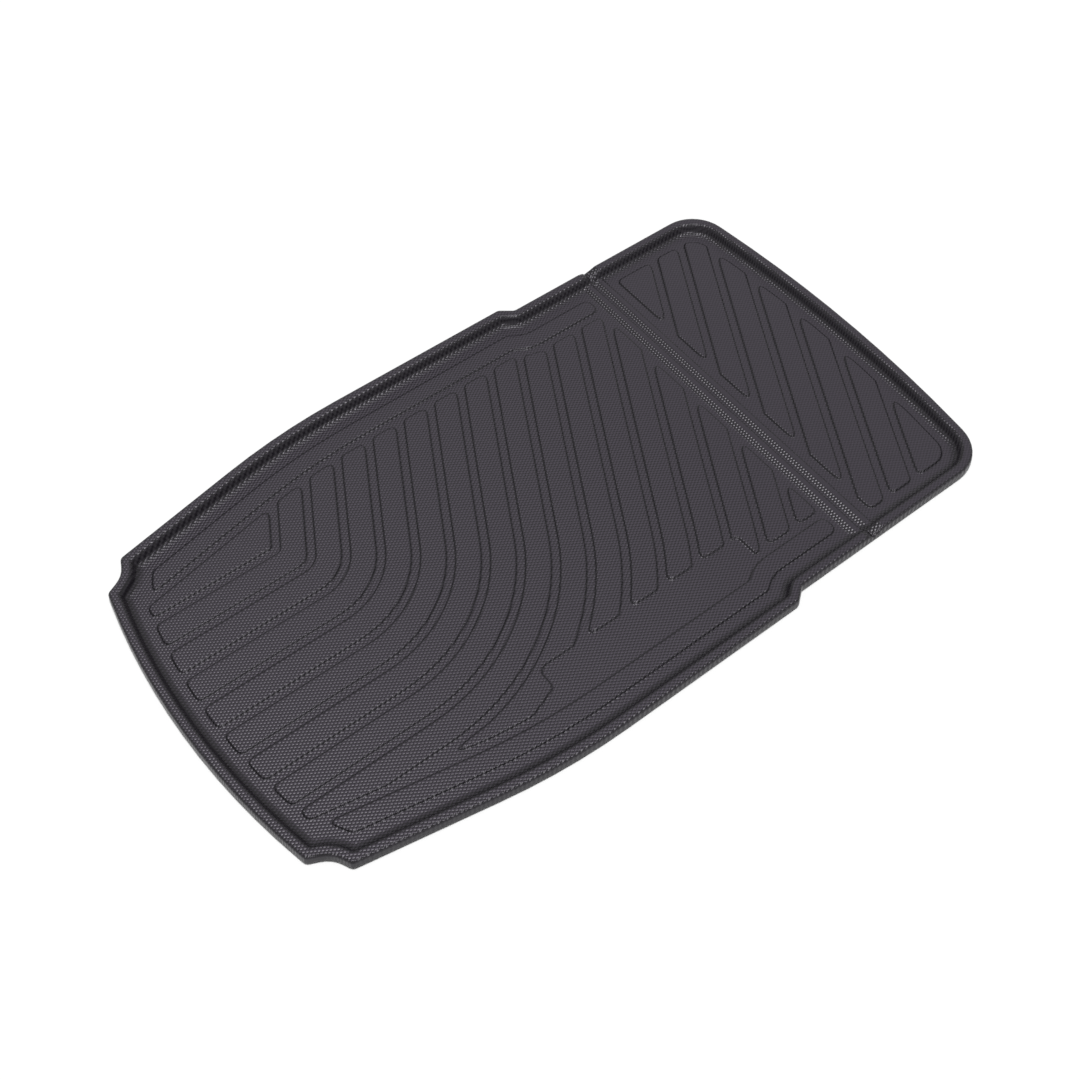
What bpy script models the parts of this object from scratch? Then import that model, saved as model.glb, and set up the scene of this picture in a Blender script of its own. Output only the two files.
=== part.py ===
"""All-weather floor mat: one moulded rubber sheet with a raised rim all round and a tray inside it.

The tray has two raised border strips, bent and slanting pads with grooves between them, and a fold line
across its right third.
"""

import math

import bmesh
import bpy
from mathutils import Vector
from mathutils.geometry import delaunay_2d_cdt

# All sizes are in metres. X runs along the mat, Y across it, and Z is up from the ground.
LENGTH = 0.900
WIDTH = 0.525
HEIGHT = 0.014
SHEET = 0.003

# Rim, measured inwards from its outer edge: a rounded top, a steep wall, and a low hollow ramp at its foot.
# Under it is a channel, open below, and its outer skirt ends above the ground.
RIM_WIDTH = 0.0115
RIM_ROUND = 0.0026
WALL_RUN = 0.0035
FOOT_RUN = 0.0068
FOOT_HEIGHT = 0.0027
FOOT_BEND = (0.40, 0.35)
SKIRT_GAP = 0.004
SKIRT_LEAN = 0.0008
CHANNEL_SHORT = 0.55

# The middle of the arc on the rounded top, as a share of its radius, and its end, as a share of WALL_RUN.
ARC_MIDDLE = 0.29
WALL_START = 0.20

# Outline: the left end, the notch and taper beside it, the step in both long sides, and the right end.
LEFT_RADIUS = 0.865
LEFT_SPAN = 0.182
TAPER_LENGTH = 0.278
TAPER_SLOPE = 0.190
TAPER_RADIUS = 0.770
NOTCH_BACK = 0.0170
NOTCH_DEEP = 0.0157
NOTCH_ANGLE = math.radians(25)
NOTCH_RADIUS = 0.032
TIP_RADIUS = 0.006
STEP_FROM_RIGHT = 0.3155
STEP_RUN = 0.0155
STEP_DEPTH = 0.0120
STEP_EASE = 0.0018
STEP_RADIUS = 0.007
RIGHT_NARROWING = 0.016
RIGHT_RADIUS = 1.670
RIGHT_SPAN = 0.200
RIGHT_CORNER = 0.048

# Share of the distance inwards by which a convex corner loses radius, and the least that is left of it.
CORNER_LOSS = 0.75
LEAST_RADIUS = 0.004

# Fold line: two low ridges, easy on the left and steep on the right, and a dip of the rim over them. The dip
# starts slowly: DIP_BEND is where its slope grows, as shares of its left part and of its depth.
FOLD_FROM_RIGHT = 0.1939
FOLD_GAP = 0.0018
FOLD_EASY = 0.0078
FOLD_CREST = 0.0052
FOLD_STEEP = 0.0014
DIP_DEPTH = 0.005
DIP_LEFT = 0.010
DIP_RIGHT = 0.015
DIP_BEND = (0.60, 0.30)
OUTER_DIP = 0.7
WALL_DIP = 0.8

# Border strips, measured inwards from the outline. The left end slants, and its line starts at this distance
# along X from the corner that the notch cuts off.
STRIP_IN = 0.0316
STRIP_WIDTH = 0.0243
STRIP_START = 0.0598
STRIP_SLANT = math.radians(30)
STRIP_BEND = 0.010
STRIP_ROUND = 0.011

# Edge of each strip and pad: a round foot, a steep wall and a round crown, as shares of its width and height.
PAD_HEIGHT = 0.002
EDGE_WIDTH = 0.0028
EDGE_PROFILE = ((0.0, 0.0), (0.40, 0.16), (0.60, 0.84), (1.0, 1.0))

# Pads. Each pad edge comes from the left at its own Y, bends once and leaves at BEND to the far right.
PAD_CORNER = 0.0085
GROOVE = 0.0071
FIRST_IN = 0.1254
PITCH = 0.03835
BEND = math.radians(60.6)
BEND_START = 0.200
CORNER_BACK = 0.0102
CORNER_STEP = 0.02084
FIELD_LEFT = 0.0321
FOLD_MARGIN = 0.0049
END_MARGIN = 0.0102
END_IN = 0.0291
LEAST_PAD = 0.0004

# Bare rectangle beside the near strip.
BARE_LENGTH = 0.2682
BARE_PAST_STEP = 0.0076
BARE_IN = 0.1056

# Fineness: how far a chord may leave its arc, the least reach of a bend, the least length of a chord, the
# least chords of an arc and of a bend, the turn above which a corner is sharp, and a side's share for arcs.
SAG = 0.00016
LEAST_REACH = 0.0008
LEAST_CHORD = 0.0004
LEAST_CHORDS = 3
BEND_CHORDS = 4
SHARP = math.radians(25)
SIDE_SHARE = 0.96

# Distances within which two points, and a point and a line, count as one.
SAME_POINT = 1e-6
SAME_LINE = 1e-7
SAME_STOP = 1e-5


def unit(ax, ay, bx, by):
    """Direction from one point to another, as (x, y)."""
    size = math.hypot(bx - ax, by - ay)
    return (bx - ax) / size, (by - ay) / size


def meet(px, py, angle_p, qx, qy, angle_q):
    """Where two lines cross, each given by a point and a direction angle."""
    ux, uy = math.cos(angle_p), math.sin(angle_p)
    vx, vy = math.cos(angle_q), math.sin(angle_q)
    along = ((qx - px) * vy - (qy - py) * vx) / (ux * vy - uy * vx)
    return px + along * ux, py + along * uy


def turn_at(before, here, after):
    """Signed angle by which a path turns at a point: left is positive."""
    ux, uy = unit(*before[:2], *here[:2])
    vx, vy = unit(*here[:2], *after[:2])
    return math.atan2(ux * vy - uy * vx, ux * vx + uy * vy)


def arc_steps(radius, angle):
    """Number of chords for an arc."""
    step = 2 * math.acos(max(0.0, 1 - SAG / max(radius, SAG)))
    return max(LEAST_CHORDS, math.ceil(abs(angle) / step))


def with_steps(corners):
    """The corners (x, y, radius) with the number of chords that each arc takes."""
    count = len(corners)
    turns = [turn_at(corners[i - 1], corners[i], corners[(i + 1) % count]) for i in range(count)]
    return [(x, y, r, arc_steps(r, turn)) for (x, y, r), turn in zip(corners, turns)]


def shifted(corners, distances, least):
    """The corners of an outline with its sides moved inwards by these distances. Side i ends at corner i."""
    moved = []
    count = len(corners)
    for i, (x, y, radius, steps) in enumerate(corners):
        before = corners[i - 1]
        after = corners[(i + 1) % count]
        ux, uy = unit(before[0], before[1], x, y)
        vx, vy = unit(x, y, after[0], after[1])
        here, ahead = distances[i], distances[(i + 1) % count]
        # The inward normals are (-uy, ux) and (-vy, vx).
        det = ux * vy - uy * vx
        dx = (vx * here - ux * ahead) / det
        dy = (vy * here - uy * ahead) / det
        lost = (here + ahead) / 2 * (CORNER_LOSS if det > 0 else -1)
        moved.append((x + dx, y + dy, max(least, radius - lost), steps))
    return moved


def rounded(corners):
    """Points of a closed outline with an arc at each corner (x, y, radius, steps)."""
    count = len(corners)
    turns = [turn_at(corners[i - 1], corners[i], corners[(i + 1) % count]) for i in range(count)]
    reach = [c[2] * math.tan(abs(t) / 2) for c, t in zip(corners, turns)]
    share = [1.0] * count
    for i in range(count):
        j = (i + 1) % count
        side = math.hypot(corners[j][0] - corners[i][0], corners[j][1] - corners[i][1])
        fit = SIDE_SHARE * side / (reach[i] + reach[j])
        share[i] = min(share[i], fit)
        share[j] = min(share[j], fit)
    points = []
    for i, (x, y, radius, steps) in enumerate(corners):
        before = corners[i - 1]
        turn = turns[i]
        back = reach[i] * share[i]
        radius = radius * share[i]
        ux, uy = unit(before[0], before[1], x, y)
        px, py = x - ux * back, y - uy * back
        side = math.copysign(radius, turn)
        cx, cy = px - uy * side, py + ux * side
        dx, dy = px - cx, py - cy
        for k in range(steps + 1):
            a = turn * k / steps
            across_x = dx * math.cos(a) - dy * math.sin(a)
            across_y = dx * math.sin(a) + dy * math.cos(a)
            points.append((cx + across_x, cy + across_y))
    return points


def area(loop):
    return sum(a[0] * b[1] - b[0] * a[1] for a, b in zip(loop, loop[1:] + loop[:1])) / 2


def bounds_of(cells, verts):
    """Outlines, counter-clockwise, of the area that these cells cover."""
    sides = {(cell[k - 1], cell[k]) for cell in cells for k in range(len(cell))}
    follow = {a: b for a, b in sides if (b, a) not in sides}
    loops = []
    while follow:
        start, here = follow.popitem()
        loop = [start]
        while here != start:
            loop.append(here)
            here = follow.pop(here)
        loops.append([tuple(verts[i]) for i in loop])
    return [loop if area(loop) > 0 else loop[::-1] for loop in loops]


def overlap(first, second, inside=True):
    """Outlines of that area of the first outline that lies inside the second, or outside it."""
    points = [Vector(p) for p in first + second]
    faces = [list(range(len(first))), list(range(len(first), len(points)))]
    verts, _, cells, _, _, owners = delaunay_2d_cdt(points, [], faces, 1, SAME_LINE)
    kept = [cell for cell, owner in zip(cells, owners) if 0 in owner and (1 in owner) == inside]
    return bounds_of(kept, verts)


def largest(loops):
    return max(loops, key=area)


def tidied(loop):
    """The outline without points that nearly touch the one before."""
    kept = []
    for point in loop:
        if not kept or math.dist(point, kept[-1]) > LEAST_CHORD:
            kept.append(point)
    if math.dist(kept[0], kept[-1]) <= LEAST_CHORD:
        kept.pop()
    return kept


def softened(loop, radius):
    """The outline with each sharp corner rounded to about this radius, or less where the next one is near."""
    loop = tidied(loop)
    count = len(loop)
    turns = [turn_at(loop[i - 1], loop[i], loop[(i + 1) % count]) for i in range(count)]
    places = [0.0]
    for a, b in zip(loop, loop[1:] + loop[:1]):
        places.append(places[-1] + math.dist(a, b))
    whole = places[-1]
    sharp = [i for i in range(count) if abs(turns[i]) > SHARP]

    def point_at(place):
        place %= whole
        k = max(i for i in range(count) if places[i] <= place)
        t = (place - places[k]) / (places[k + 1] - places[k])
        a, b = loop[k], loop[(k + 1) % count]
        return a[0] + (b[0] - a[0]) * t, a[1] + (b[1] - a[1]) * t

    cuts = {}
    for n, i in enumerate(sharp):
        before = sharp[n - 1]
        after = sharp[(n + 1) % len(sharp)]
        gaps = [(places[i] - places[before]) % whole, (places[after] - places[i]) % whole]
        room = SIDE_SHARE / 2 * min(gap or whole for gap in gaps)
        cuts[i] = min(radius * math.tan(abs(turns[i]) / 2), room)
    points = []
    for k in range(count):
        if k in cuts:
            start, end = point_at(places[k] - cuts[k]), point_at(places[k] + cuts[k])
            steps = max(LEAST_CHORDS, math.ceil(abs(turns[k]) / SHARP))
            for s in range(steps + 1):
                t = s / steps
                a, b, c = (1 - t) ** 2, 2 * t * (1 - t), t * t
                points.append(tuple(a * p + b * q + c * r for p, q, r in zip(start, loop[k], end)))
            continue
        gaps = [(abs(places[k] - places[i]), back) for i, back in cuts.items()]
        if all(min(gap, whole - gap) > back for gap, back in gaps):
            points.append(loop[k])
    return tidied(points)


def winds(place, loop):
    """How many times an outline runs round a place, counter-clockwise."""
    turns = 0
    for (ax, ay), (bx, by) in zip(loop, loop[1:] + loop[:1]):
        if (ay <= place.y) != (by <= place.y):
            side = (bx - ax) * (place.y - ay) - (place.x - ax) * (by - ay)
            if (side > 0) == (by > ay):
                turns += 1 if by > ay else -1
    return turns


def inset(loop, distance):
    """The outline moved inwards by one distance, without the crossings that this makes in a narrow corner."""
    moved = []
    count = len(loop)
    for i, (x, y) in enumerate(loop):
        ux, uy = unit(*loop[i - 1], x, y)
        vx, vy = unit(x, y, *loop[(i + 1) % count])
        scale = distance / (1 + ux * vx + uy * vy)
        moved.append((x - (uy + vy) * scale, y + (ux + vx) * scale))
    edges = [(k, (k + 1) % count) for k in range(count)]
    verts, _, cells, _, _, _ = delaunay_2d_cdt([Vector(p) for p in moved], edges, [], 1, SAME_LINE)
    middles = [sum((verts[i] for i in cell), Vector((0, 0))) / len(cell) for cell in cells]
    kept = [cell for cell, middle in zip(cells, middles) if winds(middle, moved) > 0]
    return tidied(largest(bounds_of(kept, verts)))


def with_stops(loop, stops):
    """The outline with points added where it crosses each of these X."""
    points = []
    for a, b in zip(loop, loop[1:] + loop[:1]):
        points.append(a)
        low, high = min(a[0], b[0]) + SAME_STOP, max(a[0], b[0]) - SAME_STOP
        between = [x for x in stops if low < x < high]
        for x in sorted(between, reverse=a[0] > b[0]):
            points.append((x, a[1] + (b[1] - a[1]) * (x - a[0]) / (b[0] - a[0])))
    return points


def half_outline():
    """Corners (x, y, radius) of the far half, from the right end to the left, with and without the notch."""
    lean = math.asin(RIGHT_SPAN / RIGHT_RADIUS)
    right_tip = LENGTH / 2 + RIGHT_RADIUS * (1 / math.cos(lean) - 1)
    corner_y = WIDTH / 2 - RIGHT_NARROWING
    corner_x = right_tip - corner_y * math.tan(lean)
    high_y = WIDTH / 2 - STEP_EASE
    bow = math.asin(LEFT_SPAN / LEFT_RADIUS)
    left_tip = -LENGTH / 2 - LEFT_RADIUS * (1 / math.cos(bow) - 1)
    taper = math.pi + math.atan(TAPER_SLOPE)
    down = -math.pi / 2 - bow
    blunt = meet(TAPER_X, WIDTH / 2, taper, left_tip, 0, down)
    notch = (blunt[0] + NOTCH_BACK, blunt[1] - NOTCH_DEEP)
    first = meet(TAPER_X, WIDTH / 2, taper, *notch, -math.pi / 2 - NOTCH_ANGLE)
    last = meet(left_tip, 0, down, *notch, math.pi + NOTCH_ANGLE)
    start = [
        (right_tip, 0, RIGHT_RADIUS),
        (corner_x, corner_y, RIGHT_CORNER),
        (STEP_X + STEP_RUN, high_y - STEP_DEPTH, STEP_RADIUS),
        (STEP_X, high_y, STEP_RADIUS),
        (TAPER_X, WIDTH / 2, TAPER_RADIUS),
    ]
    cut = [(*first, TIP_RADIUS), (*notch, NOTCH_RADIUS), (*last, TIP_RADIUS)]
    end = [(left_tip, 0, LEFT_RADIUS)]
    return start + cut + end, start + [(*blunt, 2 * TIP_RADIUS)] + end


def whole_outline(half):
    """The closed outline, counter-clockwise, from its far half."""
    return with_steps(half + [(x, -y, r) for x, y, r in half[-2:0:-1]])


def ring(corners, distance):
    """Points of the outline moved inwards by one distance."""
    return rounded(shifted(corners, [distance] * len(corners), LEAST_RADIUS))


def inner_ring(distance):
    """Points of the outline without its notch, moved inwards: the left end by FIELD_LEFT, else by this."""
    ends = [min(blunt[i - 1][0], blunt[i][0]) < -LENGTH / 2 for i in range(len(blunt))]
    return rounded(shifted(blunt, [FIELD_LEFT if end else distance for end in ends], STRIP_BEND))


def pad_edge(number, past):
    """A line that runs this far past the near and right edge of a pad, from far left to far right."""
    y = WIDTH / 2 - FIRST_IN - PITCH * (number - 1) - past
    corner = -LENGTH / 2 + BEND_START - CORNER_BACK + CORNER_STEP * (number - 1)
    reach = max(corner + LENGTH / 2 - BEND_START, LEAST_REACH)
    radius = reach / math.tan(BEND / 2)
    corner += past * math.tan(BEND / 2)
    reach += past * math.tan(BEND / 2)
    radius += past
    steps = max(BEND_CHORDS, arc_steps(radius, BEND))
    points = [(-FAR, y)]
    for k in range(steps + 1):
        a = BEND * k / steps
        points.append((corner - reach + radius * math.sin(a), y + radius * (1 - math.cos(a))))
    points.append((corner + (FAR - y) / math.tan(BEND), FAR))
    return points


def beyond(number, past):
    """The closed outline of all that lies this far past the edge of a pad."""
    return [(-FAR, -FAR), (3 * FAR, -FAR), (3 * FAR, FAR)] + pad_edge(number, past)[::-1]


def box(left, right, low, high):
    return [(left, low), (right, low), (right, high), (left, high)]


def pads_in(field):
    """Outlines of a field's pads, each cut off by its edge. A rest that is too small stays with the next."""
    found = []
    rest = field
    number = 0
    last = False
    while not last:
        number += 1
        ahead = overlap(field, beyond(number, GROOVE))
        last = sum(area(piece) for piece in ahead) < LEAST_PAD
        pieces = [rest] if last else overlap(rest, beyond(number, 0.0), False)
        if pieces and area(largest(pieces)) > LEAST_PAD:
            found.append(softened(largest(pieces), PAD_CORNER))
            rest = None if last else largest(ahead)
    return found


def raised(loop):
    """A plateau with a rounded edge, as loops with their heights from the foot to the top."""
    return [(inset(loop, EDGE_WIDTH * run), SHEET + PAD_HEIGHT * rise) for run, rise in EDGE_PROFILE]


def ramp(x, stops, heights):
    """Height at x of a broken line through these stops."""
    if x <= stops[0] or x >= stops[-1]:
        return 0.0
    k = max(i for i in range(len(stops)) if stops[i] <= x)
    return heights[k] + (heights[k + 1] - heights[k]) * (x - stops[k]) / (stops[k + 1] - stops[k])


def dipped(height, share=1.0):
    """Height along a line of the rim, which takes this share of the dip at the fold."""
    return lambda x: height - share * ramp(x, DIP_STOPS, DIP_DEPTHS)


def ridged(height):
    """Height along a line at the foot of the rim, where the ridges of the fold stand higher."""
    return lambda x: max([height] + [SHEET + ramp(x, stops, RIDGE_HEIGHTS) for stops in RIDGES])


def surface(mesh, loops, lines, upward):
    """Adds one skin to the mesh, through closed loops with their heights, and lines between their points."""
    points, heights, edges = [], [], []
    for loop, height in loops:
        first = len(points)
        points += [Vector(p) for p in loop]
        heights += [height(p[0]) if callable(height) else height for p in loop]
        edges += [(first + k, first + (k + 1) % len(loop)) for k in range(len(loop))]
    for a, b in lines:
        edges.append((points.index(Vector(a)), points.index(Vector(b))))
    verts, _, cells, origins, _, _ = delaunay_2d_cdt(points, edges, [], 1, SAME_LINE)
    made = [mesh.verts.new((v.x, v.y, heights[origin[0]])) for v, origin in zip(verts, origins)]
    for cell in cells:
        mesh.faces.new([made[i] for i in (cell if upward else cell[::-1])])


for old in list(bpy.data.objects):
    bpy.data.objects.remove(old)

# Places along X that follow from the sizes. FAR is beyond every side of the mat.
FAR = 2 * LENGTH
TAPER_X = -LENGTH / 2 + TAPER_LENGTH
STEP_X = LENGTH / 2 - STEP_FROM_RIGHT
FOLD_X = LENGTH / 2 - FOLD_FROM_RIGHT
RIDGE_WIDTH = FOLD_EASY + FOLD_CREST + FOLD_STEEP
RIDGE_HEIGHTS = (0.0, PAD_HEIGHT, PAD_HEIGHT, 0.0)
RIDGES = [
    (left, left + FOLD_EASY, left + FOLD_EASY + FOLD_CREST, left + RIDGE_WIDTH)
    for left in (FOLD_X - FOLD_GAP / 2 - RIDGE_WIDTH, FOLD_X + FOLD_GAP / 2)
]
DIP_STOPS = (FOLD_X - DIP_LEFT, FOLD_X - DIP_LEFT * (1 - DIP_BEND[0]), FOLD_X, FOLD_X + DIP_RIGHT)
DIP_DEPTHS = (0.0, DIP_DEPTH * DIP_BEND[1], DIP_DEPTH, 0.0)
STOPS = DIP_STOPS + RIDGES[0] + RIDGES[1]
FIELD_END = RIDGES[0][0] - FOLD_MARGIN
END_START = RIDGES[1][3] + END_MARGIN
BARE_END = STEP_X + BARE_PAST_STEP

whole_half, blunt_half = half_outline()
outline = whole_outline(whole_half)
blunt = whole_outline(blunt_half)

# Upper skin, from the lower edge of the skirt over the rim and down to the floor of the tray.
wall_foot = RIM_WIDTH + WALL_RUN
arc_middle = RIM_ROUND * ARC_MIDDLE
rings = [
    (-SKIRT_LEAN, dipped(SKIRT_GAP, 0.0)),
    (0.0, dipped(HEIGHT - RIM_ROUND, OUTER_DIP)),
    (arc_middle, dipped(HEIGHT - arc_middle)),
    (RIM_ROUND, dipped(HEIGHT)),
    (RIM_WIDTH - RIM_ROUND, dipped(HEIGHT)),
    (RIM_WIDTH - arc_middle, dipped(HEIGHT - arc_middle)),
    (RIM_WIDTH + WALL_RUN * WALL_START, dipped(HEIGHT - RIM_ROUND, WALL_DIP)),
    (wall_foot, ridged(SHEET + FOOT_HEIGHT)),
    (wall_foot + FOOT_RUN * FOOT_BEND[0], ridged(SHEET + FOOT_HEIGHT * FOOT_BEND[1])),
    (wall_foot + FOOT_RUN, ridged(SHEET)),
]
upper = [(with_stops(ring(outline, distance), STOPS), height) for distance, height in rings]
foot = upper[-1][0]

# Lower skin: flat on the ground under the tray, and hollow under the rim.
rings = [
    (SHEET - SKIRT_LEAN, dipped(SKIRT_GAP, 0.0)),
    (SHEET, dipped(HEIGHT - SHEET)),
    (RIM_WIDTH - SHEET * CHANNEL_SHORT, dipped(HEIGHT - SHEET)),
    (wall_foot, dipped(0.0, 0.0)),
]
lower = [(with_stops(ring(outline, distance), STOPS), height) for distance, height in rings]
lower.insert(0, upper[0])

# Border strips: the far one is a band along the outline, and the near one mirrors it.
cut_corner_x, cut_corner_y = blunt_half[-2][:2]
slant_x = cut_corner_x + STRIP_START - cut_corner_y * math.tan(STRIP_SLANT)
slant_end = slant_x + WIDTH / 2 * math.tan(STRIP_SLANT)
quarter = [(slant_x, 0.0), (FIELD_END, 0.0), (FIELD_END, WIDTH / 2), (slant_end, WIDTH / 2)]
side = overlap(inner_ring(STRIP_IN), quarter)[0]
strip = softened(largest(overlap(side, inner_ring(STRIP_IN + STRIP_WIDTH), False)), STRIP_ROUND)
mirrored_strip = [(x, -y) for x, y in strip][::-1]

# The main field lies inside the strips and leaves the bare rectangle free. The end field fills the right.
main_field = overlap(inner_ring(STRIP_IN + STRIP_WIDTH + GROOVE), box(-FAR, FIELD_END, -FAR, FAR))[0]
bare = box(BARE_END - BARE_LENGTH, BARE_END, -FAR, BARE_IN - WIDTH / 2)
main_field = largest(overlap(main_field, bare, False))
end_field = overlap(ring(blunt, END_IN), box(END_START, FAR, -FAR, FAR))[0]
for loop in [strip, mirrored_strip] + pads_in(main_field) + pads_in(end_field):
    upper += raised(loop)

# Fold line: lines across the floor of the tray, from the foot of the far wall to the foot of the near one.
across = []
for stop in RIDGES[0] + RIDGES[1]:
    ends = [[p for p in foot if p[1] > 0], [p for p in foot if p[1] < 0]]
    across.append([min(end, key=lambda p: abs(p[0] - stop)) for end in ends])

mesh = bmesh.new()
surface(mesh, upper, across, True)
surface(mesh, lower, [], False)
bmesh.ops.remove_doubles(mesh, verts=mesh.verts, dist=SAME_POINT)
bmesh.ops.recalc_face_normals(mesh, faces=mesh.faces)

data = bpy.data.meshes.new("floor_mat")
mesh.to_mesh(data)
mesh.free()
mat = bpy.data.objects.new("floor_mat", data)

group = bpy.data.collections.new("all_weather_mat")
bpy.context.scene.collection.children.link(group)
group.objects.link(mat)

rubber = bpy.data.materials.new("dark_rubber")
rubber.use_nodes = True
shader = rubber.node_tree.nodes["Principled BSDF"]
shader.inputs["Base Color"].default_value = (0.060, 0.057, 0.061, 1.0)
shader.inputs["Roughness"].default_value = 0.62
shader.inputs["Metallic"].default_value = 0.0
data.materials.append(rubber)
data.shade_smooth()
data.set_sharp_from_angle(angle=math.radians(28))
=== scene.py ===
"""All-weather car mat on a white floor: dark rubber with fine raised dots, under soft studio light."""

import math

import bpy
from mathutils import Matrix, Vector

# All sizes are in metres. The mat's length runs along X, its width along Y, and Z is up.

# Camera at the photograph's angle: its turn in degrees, its lens and sensor in millimetres.
CAMERA_PLACE = (-0.6364, -0.8140, 1.4068)
CAMERA_TURN = (35.309, 0.0, -37.824)
CAMERA_LENS = 53.33
SENSOR = 36.0

# Raised dots: columns along Y, with every other column shifted by half a step.
DOT_COLUMN = 0.00309
DOT_STEP = 0.00394
DOT_HEIGHT = 0.00046

# On level places the dots grow fainter over this range of X, down to this share of their height. This fades
# their bump and also their painted shade and painted highlight, standing in for light that catches the dots
# less towards +X.
FADE = (0.00, 0.34)
FAINT = 0.35

# Bands without dots on the fold line's two crests: ranges of X, the reach along Y, and their soft ends.
CRESTS = ((0.2486, 0.2552), (0.2648, 0.2714))
CREST_HALF = 0.226
CREST_SOFT = 0.0004

# Rubber: near black with a trace of violet, and a broad gloss.
RUBBER = (0.0208, 0.0175, 0.0236)
ROUGHNESS = 0.32
REFRACTION = 1.5
GLOSS = 0.34
SHEEN = (0.96, 0.925, 1.0, 1.0)

# The colour is RUBBER times a share, which grows from the places between the dots to their tops: the first
# and last share on level places and on slopes, the range of the dots' relief over which each grows, and the
# share on walls. These shares paint light and shade: painted shade between the dots, on slopes and on walls,
# and a painted highlight on the dots' tops.
LEVEL_SHARES = (0.0, 2.0)
LEVEL_RELIEF = (-0.9, 0.7)
SLOPE_SHADE_SHARES = (0.0, 1.2)
SLOPE_RELIEF = (-0.2, 1.0)
WALL_SHADE_SHARE = 0.5

# Ranges of the normal's Z over which a slope turns level, and a wall turns into a slope.
SLOPE_TO_LEVEL = (0.96, 0.995)
WALL_TO_SLOPE = (0.35, 0.75)

# Shading turns softly over an edge within this radius, found with this many rays.
EDGE_SOFT = 0.0025
EDGE_RAYS = 6

# The mesh's smooth shading breaks below this height where the slope changes by more than this angle, so that
# the pads and strips stay crisp. Elsewhere large faces count most, by this weight.
TRAY_TOP = 0.0052
SLOPE_CHANGE = math.radians(8)
FACE_WEIGHT = 70
UP = Vector((0, 0, 1))

# Light: an even white room, and a wide soft lamp overhead. TRAVEL is the direction in which its light goes.
ROOM = 0.20
WHITE = (1.0, 1.0, 1.0, 1.0)
LAMP_TRAVEL = (0.02, 0.17, -1.0)
LAMP_STRENGTH = 2.80
LAMP_WIDTH = math.radians(16)

# Floor, a hair below the mat.
FLOOR_SIZE = 12
FLOOR_DROP = 0.0002
FLOOR_COLOUR = (0.97, 0.97, 0.97, 1.0)


def feed(tree, socket, value):
    """Give a socket a number, or link another socket to it."""
    if isinstance(value, (int, float)):
        socket.default_value = value
    else:
        tree.links.new(value, socket)


def math_node(tree, kind, *values):
    """The result of one Math node on numbers or sockets."""
    node = tree.nodes.new("ShaderNodeMath")
    node.operation = kind
    for socket, value in zip(node.inputs, values):
        feed(tree, socket, value)
    return node.outputs[0]


def between(tree, value, low, high, soft):
    """1 where the value lies in the range and 0 outside, with soft ends."""
    rise = math_node(tree, "DIVIDE", math_node(tree, "SUBTRACT", value, low), soft)
    fall = math_node(tree, "DIVIDE", math_node(tree, "SUBTRACT", high, value), soft)
    rise.node.use_clamp = True
    fall.node.use_clamp = True
    return math_node(tree, "MULTIPLY", rise, fall)


def ranged(tree, value, limits, first, last):
    """The first number below the limits and the last above them, with a smooth change in between."""
    node = tree.nodes.new("ShaderNodeMapRange")
    node.interpolation_type = "SMOOTHSTEP"
    node.inputs["From Min"].default_value, node.inputs["From Max"].default_value = limits
    node.inputs["To Min"].default_value = first
    node.inputs["To Max"].default_value = last
    tree.links.new(value, node.inputs["Value"])
    return node.outputs["Result"]


def blend(tree, share, first, second):
    """The first number or socket where the share is 0, and the second where it is 1."""
    node = tree.nodes.new("ShaderNodeMix")
    feed(tree, node.inputs["Factor"], share)
    feed(tree, node.inputs["A"], first)
    feed(tree, node.inputs["B"], second)
    return node.outputs[0]


def axes(tree, vector):
    """The X, Y and Z of a vector socket."""
    split = tree.nodes.new("ShaderNodeSeparateXYZ")
    tree.links.new(vector, split.inputs[0])
    return split.outputs


def dots(tree, x, y):
    """Relief of the raised dots at a place of the sheet: -1 between them and 1 on their tops."""
    across = math_node(tree, "COSINE", math_node(tree, "MULTIPLY", x, math.pi / DOT_COLUMN))
    along = math_node(tree, "COSINE", math_node(tree, "MULTIPLY", y, 2 * math.pi / DOT_STEP))
    return math_node(tree, "MULTIPLY", across, along)


def fold_crests(tree, x, y):
    """1 on the fold line's two crests and 0 elsewhere."""
    crests = math_node(tree, "ADD", *[between(tree, x, low, high, CREST_SOFT) for low, high in CRESTS])
    return math_node(tree, "MULTIPLY", crests, between(tree, y, -CREST_HALF, CREST_HALF, CREST_SOFT))


def rubber_colour(tree, share):
    """RUBBER times a share."""
    colour = tree.nodes.new("ShaderNodeVectorMath")
    colour.operation = "SCALE"
    colour.inputs[0].default_value = RUBBER
    tree.links.new(share, colour.inputs["Scale"])
    return colour.outputs[0]


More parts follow.
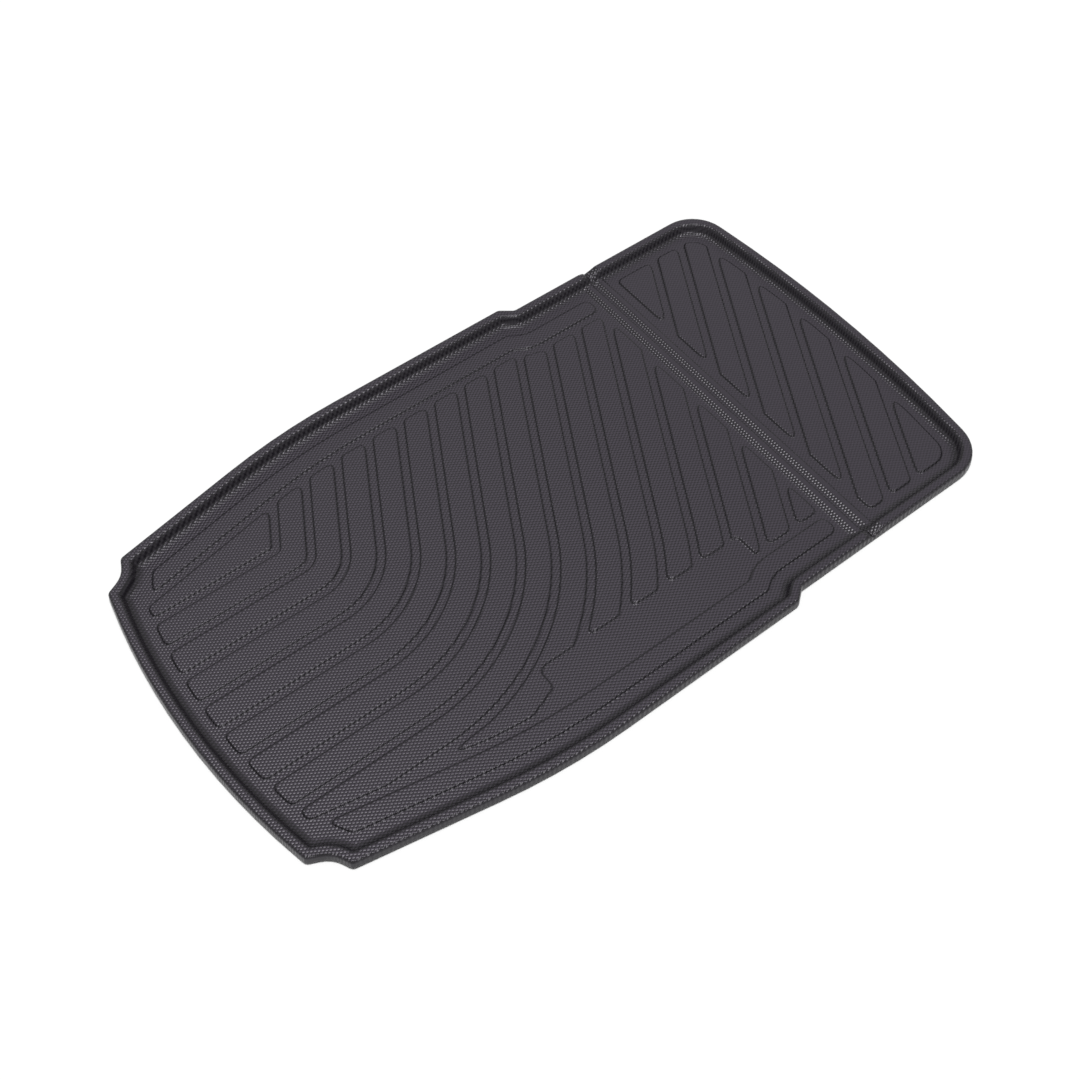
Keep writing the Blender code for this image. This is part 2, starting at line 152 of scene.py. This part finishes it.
def rubber_material():
    """Dark rubber: raised dots, a broad gloss, and a colour with painted shade on slopes, on walls and
    between dots, and a painted highlight on the dots' tops.
    """
    material = bpy.data.materials.new("dark_rubber_dotted")
    material.use_nodes = True
    tree = material.node_tree
    shader = tree.nodes["Principled BSDF"]
    shader.inputs["Roughness"].default_value = ROUGHNESS
    shader.inputs["IOR"].default_value = REFRACTION
    shader.inputs["Specular IOR Level"].default_value = GLOSS
    shader.inputs["Specular Tint"].default_value = SHEEN

    place = tree.nodes.new("ShaderNodeNewGeometry")
    x, y, _ = axes(tree, place.outputs["Position"])
    bend = tree.nodes.new("ShaderNodeBevel")
    bend.samples = EDGE_RAYS
    bend.inputs["Radius"].default_value = EDGE_SOFT
    up = axes(tree, bend.outputs["Normal"])[2]
    level = ranged(tree, up, SLOPE_TO_LEVEL, 0.0, 1.0)

    # Painted light: towards +X the dots' painted shade and highlight fade, together with their bump.
    faint = math_node(tree, "MULTIPLY", level, ranged(tree, x, FADE, 0.0, 1.0 - FAINT))
    crests = fold_crests(tree, x, y)
    relief = math_node(tree, "MULTIPLY", dots(tree, x, y), math_node(tree, "SUBTRACT", 1.0, faint))
    relief = math_node(tree, "MULTIPLY", relief, math_node(tree, "SUBTRACT", 1.0, crests))

    # Painted shade between the dots and a painted highlight on their tops, on slopes and on level places.
    on_slope = ranged(tree, relief, SLOPE_RELIEF, *SLOPE_SHADE_SHARES)
    on_level = ranged(tree, relief, LEVEL_RELIEF, *LEVEL_SHARES)
    # Painted shade: slopes take a darker share than level places.
    share = blend(tree, level, on_slope, on_level)
    # Painted shade: walls take one even dark share.
    share = blend(tree, ranged(tree, up, WALL_TO_SLOPE, 0.0, 1.0), WALL_SHADE_SHARE, share)
    tree.links.new(rubber_colour(tree, share), shader.inputs["Base Color"])

    bump = tree.nodes.new("ShaderNodeBump")
    bump.inputs["Strength"].default_value = 1.0
    bump.inputs["Distance"].default_value = DOT_HEIGHT / 2
    tree.links.new(relief, bump.inputs["Height"])
    tree.links.new(bend.outputs["Normal"], bump.inputs["Normal"])
    tree.links.new(bump.outputs["Normal"], shader.inputs["Normal"])
    return material


def shade_mat(mat):
    """Smooth shading, with sharp lines in the tray where the slope changes."""
    slopes = {}
    for polygon in mat.data.polygons:
        polygon.use_smooth = True
        for key in polygon.edge_keys:
            slopes.setdefault(key, []).append(polygon.normal.angle(UP))
    for edge in mat.data.edges:
        in_tray = max(mat.data.vertices[i].co.z for i in edge.vertices) < TRAY_TOP
        found = slopes[edge.key]
        edge.use_edge_sharp = in_tray and max(found) - min(found) > SLOPE_CHANGE
    weighted = mat.modifiers.new("weighted", "WEIGHTED_NORMAL")
    weighted.keep_sharp = True
    weighted.weight = FACE_WEIGHT


def add_camera():
    """The camera that takes the picture."""
    data = bpy.data.cameras.new("camera")
    data.sensor_width = SENSOR
    data.lens = CAMERA_LENS
    camera = bpy.data.objects.new("camera", data)
    camera.location = CAMERA_PLACE
    camera.rotation_euler = [math.radians(turn) for turn in CAMERA_TURN]
    bpy.context.scene.collection.objects.link(camera)
    bpy.context.scene.camera = camera


def background(tree, strength):
    """White light of this strength from all sides."""
    node = tree.nodes.new("ShaderNodeBackground")
    node.inputs["Color"].default_value = WHITE
    node.inputs["Strength"].default_value = strength
    return node.outputs[0]


def add_world():
    """White where the camera and reflections look, and softer for the light on the mat."""
    world = bpy.data.worlds.new("studio")
    bpy.context.scene.world = world
    world.use_nodes = True
    tree = world.node_tree
    tree.nodes.clear()
    path = tree.nodes.new("ShaderNodeLightPath")
    seen = math_node(tree, "MAXIMUM", path.outputs["Is Camera Ray"], path.outputs["Is Glossy Ray"])
    seen = math_node(tree, "MAXIMUM", seen, path.outputs["Is Transmission Ray"])
    mix = tree.nodes.new("ShaderNodeMixShader")
    out = tree.nodes.new("ShaderNodeOutputWorld")
    tree.links.new(seen, mix.inputs[0])
    tree.links.new(background(tree, ROOM), mix.inputs[1])
    tree.links.new(background(tree, 1.0), mix.inputs[2])
    tree.links.new(mix.outputs[0], out.inputs["Surface"])


def add_floor():
    """A white floor that keeps the mat's shadow."""
    bpy.ops.mesh.primitive_plane_add(size=FLOOR_SIZE, location=(0, 0, -FLOOR_DROP))
    floor = bpy.context.object
    floor.name = "floor"
    material = bpy.data.materials.new("floor_white")
    material.use_nodes = True
    tree = material.node_tree
    tree.nodes.clear()
    diffuse = tree.nodes.new("ShaderNodeBsdfDiffuse")
    diffuse.inputs["Color"].default_value = FLOOR_COLOUR
    out = tree.nodes.new("ShaderNodeOutputMaterial")
    tree.links.new(diffuse.outputs[0], out.inputs["Surface"])
    floor.data.materials.append(material)


def add_lamp():
    """A soft lamp so far away that its light is the same all over the mat."""
    data = bpy.data.lights.new("overhead", "SUN")
    data.energy = LAMP_STRENGTH
    data.angle = LAMP_WIDTH
    lamp = bpy.data.objects.new("overhead", data)
    lamp.rotation_euler = Vector(LAMP_TRAVEL).to_track_quat("-Z", "Y").to_euler()
    bpy.context.scene.collection.objects.link(lamp)


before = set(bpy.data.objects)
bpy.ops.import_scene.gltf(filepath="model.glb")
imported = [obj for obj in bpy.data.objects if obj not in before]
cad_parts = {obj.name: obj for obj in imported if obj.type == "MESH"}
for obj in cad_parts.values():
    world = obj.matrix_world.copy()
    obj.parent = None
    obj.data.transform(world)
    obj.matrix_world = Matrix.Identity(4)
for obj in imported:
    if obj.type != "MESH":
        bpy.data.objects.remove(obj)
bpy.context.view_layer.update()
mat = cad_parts["floor_mat"]
mat.data.materials.clear()
mat.data.materials.append(rubber_material())
shade_mat(mat)

add_camera()
add_world()
add_floor()
add_lamp()

bpy.context.scene.view_settings.view_transform = "Standard"
